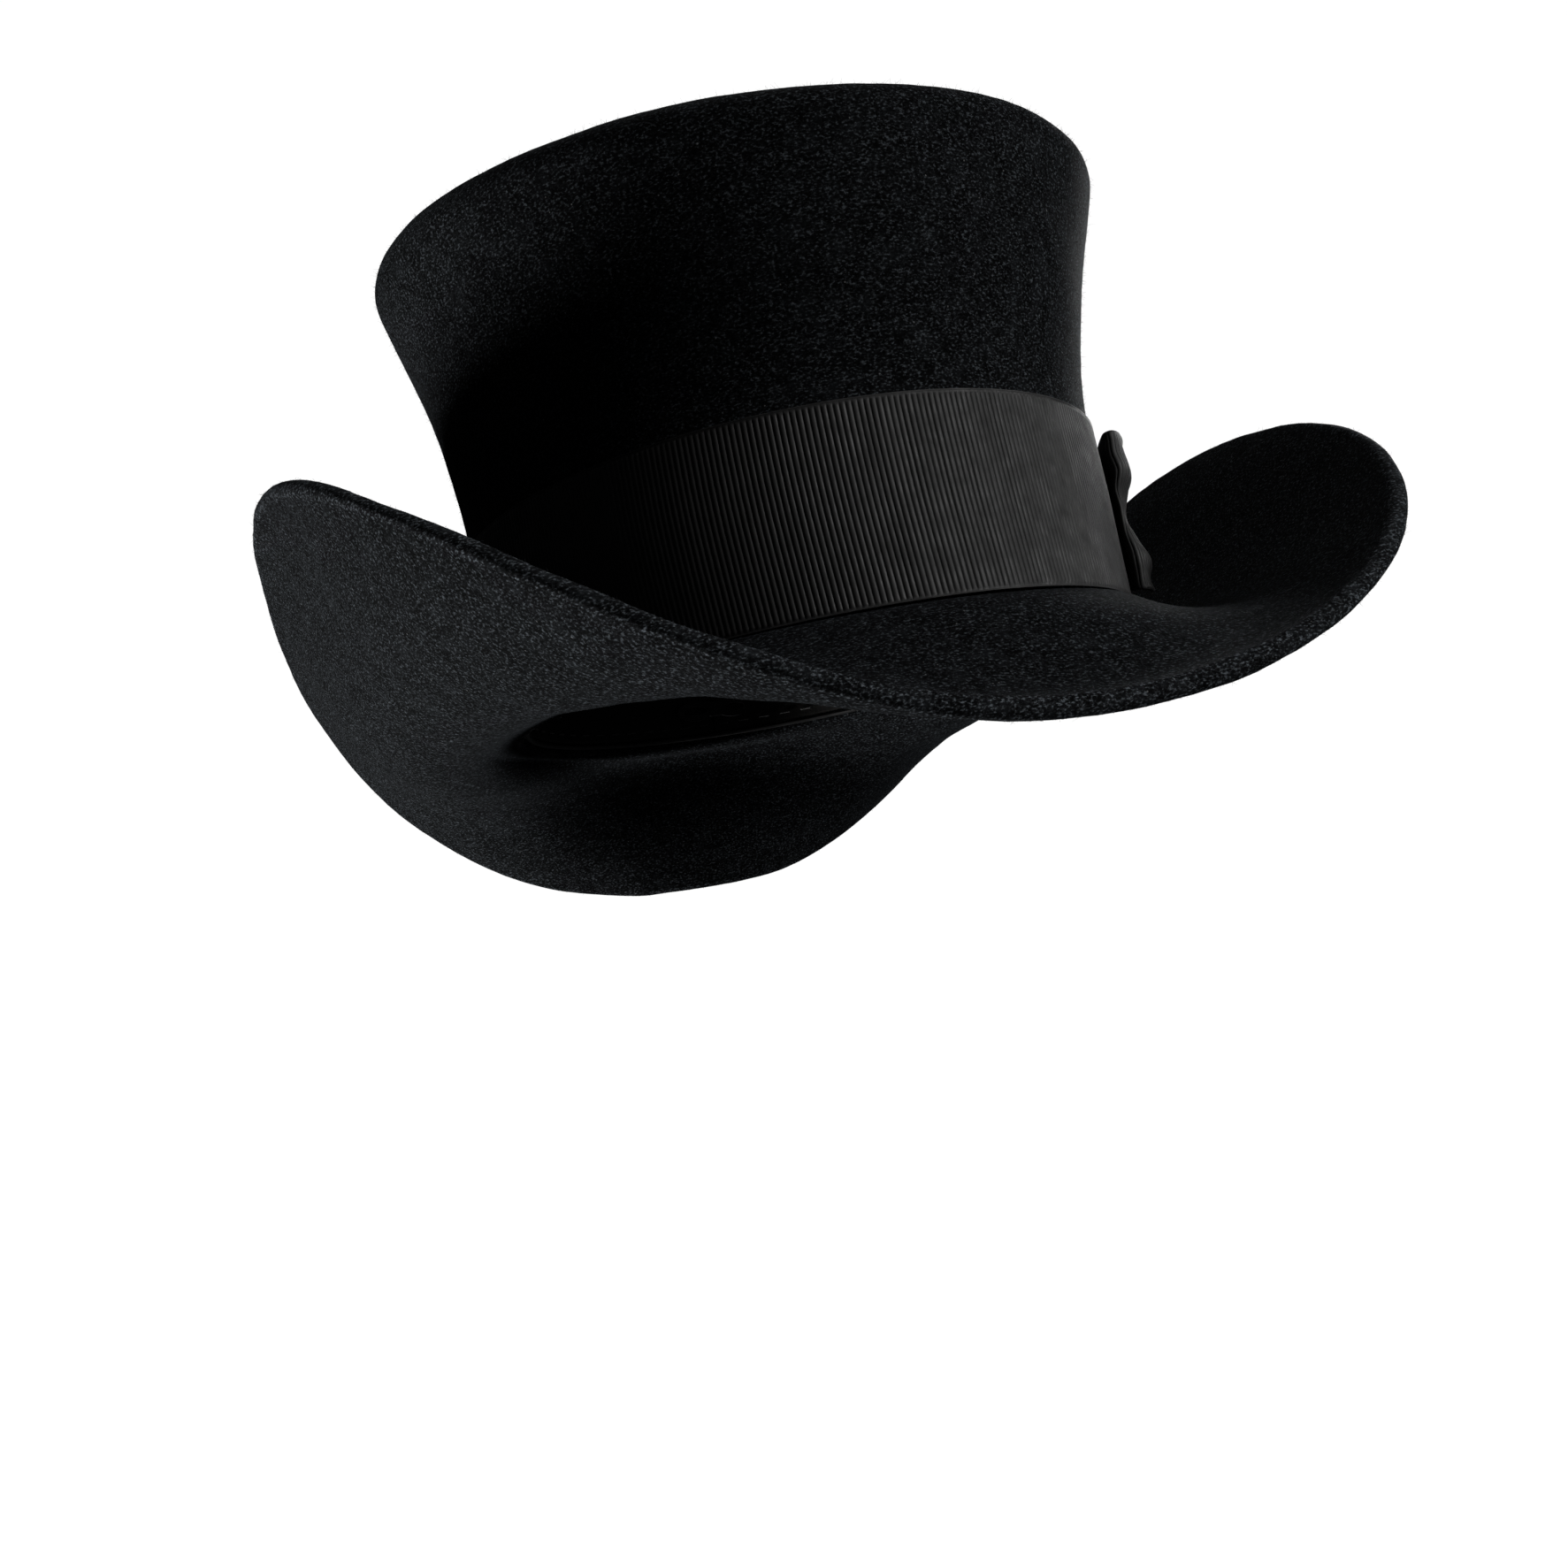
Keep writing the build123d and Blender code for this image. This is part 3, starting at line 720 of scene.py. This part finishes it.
def make_lining():
    """Satin side with soft gathers, and a puckered satin tip."""
    a = around(900)
    z = column(np.linspace(LINING_FOOT + 3, SIDE_HEIGHT, 90))
    turn = np.radians(column(np.linspace(SHOULDER_START, 22, 8)[1:]))
    share = np.vstack([(z - z[0]) / (SIDE_HEIGHT - z[0]), np.ones_like(turn)])
    folds = (np.sin(46 * a + 1.5 * np.sin(3 * a)) + 0.6 * np.sin(75 * a + 2)) * 0.28
    gather = folds * (0.35 + 0.65 * share ** 2) + 0.5
    skin_depth = LINING_OUTER + gather
    outer = np.vstack([wall(a, z, skin_depth[:len(z)]),
                       shoulder(a, turn, skin_depth[len(z):])])
    inner = np.vstack([wall(a, z, skin_depth[:len(z)] + LINING_SKIN),
                       shoulder(a, turn, skin_depth[len(z):] + LINING_SKIN)])
    side = add_hoop("lining_side_satin", np.vstack([inner, outer[::-1]]), SATIN)
    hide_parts("lining_side")
    middle_ring = wall(a, z[40:41], 5.0)[0]
    reach = SHOULDER_MIDDLE + 1.0
    rim = oval(a, FLARE_ACROSS[-1] + reach, FLARE_ALONG[-1] + reach,
               np.full((1, 1), TIP_HEIGHT - 5.2))
    centre = rim.mean(axis=1, keepdims=True)
    scale = column(np.linspace(1.0, 0.02, 60))
    disc = centre + (rim - centre) * scale[..., None]
    pucker = 0.35 * np.sin(60 * a) * scale ** 6
    sag = 1.2 * (1 - scale ** 2) + pucker + 0.3
    low, high = disc.copy(), disc.copy()
    low[..., 2] -= sag + LINING_SKIN
    high[..., 2] -= sag
    rows, columns = low.shape[:2]
    points = np.vstack([low[::-1], high])
    faces = grid_faces(rows * 2, columns, False, True)
    faces.append(list(range(columns))[::-1])
    faces.append(list(range((2 * rows - 1) * columns, 2 * rows * columns)))
    tip = add_piece("lining_tip_satin", points, faces, SATIN)
    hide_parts("lining_tip")


# ---------------------------------------------------------------- finishes for CAD nodes
CAD_FINISHES = {
    "join_stitches": THREAD, "hatband_tacks": THREAD, "sweatband_splice": TAPE,
    "sweatband_reed": PLASTIC, "reed_tape": TAPE, "sweatband_stitches": PALE_THREAD,
    "sweatband_bow": RIBBON, "lining_cord": SATIN, "lining_tacks": THREAD,
    "size_ticket": CARD,
}


def finish_cad_nodes():
    for node, material in CAD_FINISHES.items():
        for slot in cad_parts[node].material_slots:
            slot.material = material


# ---------------------------------------------------------------- camera and studio
def turn_matrix(axis, degrees):
    """A turn of the axes that a pinhole camera's picture would show."""
    c, s = math.cos(math.radians(degrees)), math.sin(math.radians(degrees))
    return {"side": np.array([[c, 0, s], [0, 1, 0], [-s, 0, c]]),
            "up": np.array([[1, 0, 0], [0, c, s], [0, -s, c]]),
            "roll": np.array([[c, s, 0], [-s, c, 0], [0, 0, 1]])}[axis]


def place_camera():
    azimuth, elevation = math.radians(CAMERA_AZIMUTH), math.radians(CAMERA_ELEVATION)
    back = np.array([math.sin(azimuth) * math.cos(elevation),
                     -math.cos(azimuth) * math.cos(elevation), math.sin(elevation)])
    view = -back
    right = np.cross(view, (0, 0, 1))
    right /= np.linalg.norm(right)
    axes = np.array([right, np.cross(view, right), view])
    axes = turn_matrix("roll", CAMERA_ROLL) @ axes
    axes = turn_matrix("up", CAMERA_AIM_UP) @ turn_matrix("side", CAMERA_AIM_SIDE) @ axes
    data = bpy.data.cameras.new("camera")
    data.lens = CAMERA_LENS
    data.sensor_width = 36.0
    data.clip_start = 0.01
    data.dof.use_dof = False
    camera = bpy.data.objects.new("camera", data)
    place = Matrix.Identity(4)
    for k, way in enumerate((axes[0], -axes[1], -axes[2])):
        for row in range(3):
            place[row][k] = way[row]
    spot = (np.array(CAMERA_TARGET) + CAMERA_DISTANCE * back) * MM
    place.translation = Vector(spot)
    camera.matrix_world = place
    bpy.context.scene.collection.objects.link(camera)
    bpy.context.scene.camera = camera


def add_softbox(name, place, size, power, aim=(0, 0, 0.05)):
    light = bpy.data.lights.new(name, "AREA")
    light.shape = "SQUARE"
    light.size = size
    light.energy = power
    lamp = bpy.data.objects.new(name, light)
    lamp.location = place
    lamp.rotation_euler = (Vector(aim) - Vector(place)).to_track_quat("-Z", "Y").to_euler()
    bpy.context.scene.collection.objects.link(lamp)


def make_floor():
    mesh = bpy.data.meshes.new("floor")
    size = 30.0
    corners = [(x, y, FLOOR_LEVEL) for x, y in ((-size, -size), (size, -size),
                                                (size, size), (-size, size))]
    mesh.from_pydata(corners, [], [(0, 1, 2, 3)])
    m = Nodes("pale_floor", (0.92, 0.92, 0.92), 0.9)
    m.colour(m.ramp(m.noise(3.0, 4.0), (0.3, grey(0.91)), (0.7, grey(0.93))))
    m.set(Emission_Color=(1, 1, 1, 1), Emission_Strength=1.0)
    mesh.materials.append(m.material)
    floor = bpy.data.objects.new("floor", mesh)
    bpy.context.scene.collection.objects.link(floor)
    floor.visible_diffuse = False
    floor.visible_glossy = False
    floor.visible_shadow = False


def light_the_studio():
    """White all round to look at, which lights the hat far less than it shows.

    The key lies at the right of the front, a low light reaches the brim's
    underside from the left, and two weak ones keep the tip and back readable.
    """
    world = bpy.data.worlds.new("studio")
    world.use_nodes = True
    tree = world.node_tree
    shown = tree.nodes["Background"]
    shown.inputs["Color"].default_value = (1, 1, 1, 1)
    shown.inputs["Strength"].default_value = 1.02
    lit = tree.nodes.new("ShaderNodeBackground")
    lit.inputs["Color"].default_value = (0.94, 0.97, 1, 1)
    lit.inputs["Strength"].default_value = AMBIENT
    rays = tree.nodes.new("ShaderNodeLightPath")
    mix = tree.nodes.new("ShaderNodeMixShader")
    tree.links.new(rays.outputs["Is Camera Ray"], mix.inputs[0])
    tree.links.new(lit.outputs[0], mix.inputs[1])
    tree.links.new(shown.outputs[0], mix.inputs[2])
    tree.links.new(mix.outputs[0], tree.nodes["World Output"].inputs[0])
    bpy.context.scene.world = world
    bpy.context.scene.view_settings.view_transform = "Standard"
    add_softbox("key_right", (1.25, -1.35, 0.50), 0.7, 30.0)
    add_softbox("left_behind", (-1.25, 0.62, -0.66), 0.55, 41.0)
    add_softbox("top", (0.3, 0.6, 1.7), 1.0, 6.0)
    add_softbox("back_fill", (1.35, 1.1, 0.55), 0.8, 30.0)
    overhead = bpy.data.lights.new("overhead", "SUN")
    overhead.energy = 0.15
    overhead.angle = math.radians(25)
    bpy.context.scene.collection.objects.link(bpy.data.objects.new("overhead", overhead))


make_crown()
make_brim()
make_hatband()
make_loop(-1, "bow_front_loop_ribbed", "bow_front_loop", 51)
make_loop(1, "bow_back_loop_ribbed", "bow_back_loop", 52)
make_knot()
make_underlay()
make_sweatband()
make_lining()
finish_cad_nodes()
place_camera()
make_floor()
light_the_studio()

bpy.context.view_layer.update()
